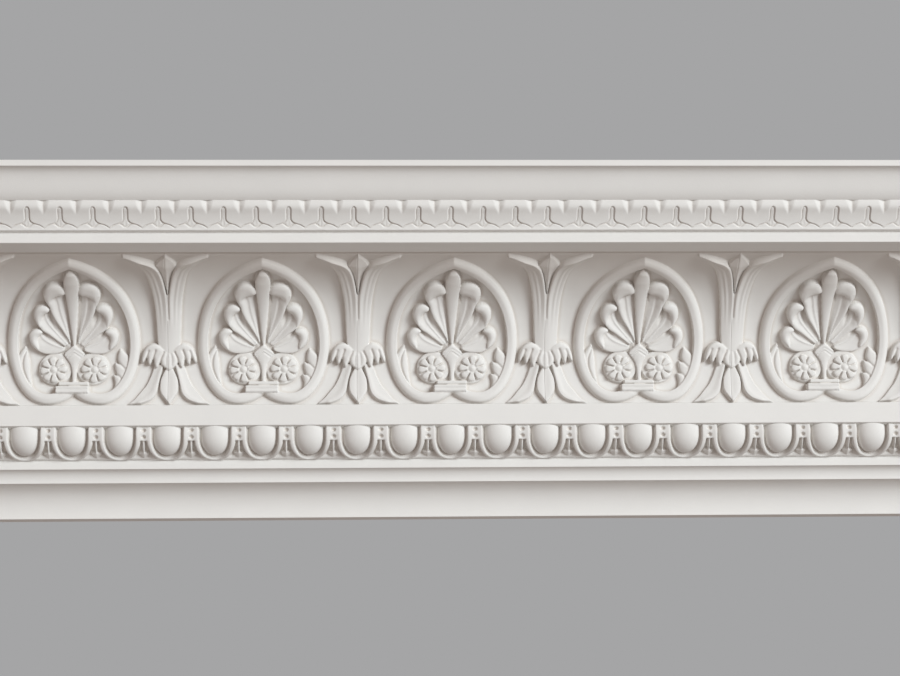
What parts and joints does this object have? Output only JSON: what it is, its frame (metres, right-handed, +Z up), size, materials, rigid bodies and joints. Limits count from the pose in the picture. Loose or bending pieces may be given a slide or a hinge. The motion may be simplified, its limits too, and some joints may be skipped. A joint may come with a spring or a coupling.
{
  "type": "cornice moulding section",
  "caption": "Straight length of cast plaster cornice with a carved palmette frieze in a deep cove, egg and dart below, a leaf band above and a hollow back.",
  "frame": {"origin": "middle of the strip that beds on the wall, halfway along the run", "axes": "+X along the moulding, -Y out from the wall into the room, +Z up"},
  "size_m": [0.762, 0.2091, 0.2226],
  "materials": {
    "plaster": "matt off-white cast plaster, thinly painted, soft arrises, warm grey in the crevices"
  },
  "bodies": {
    "root": {"cornice": "plaster"}
  },
  "joints": []
}
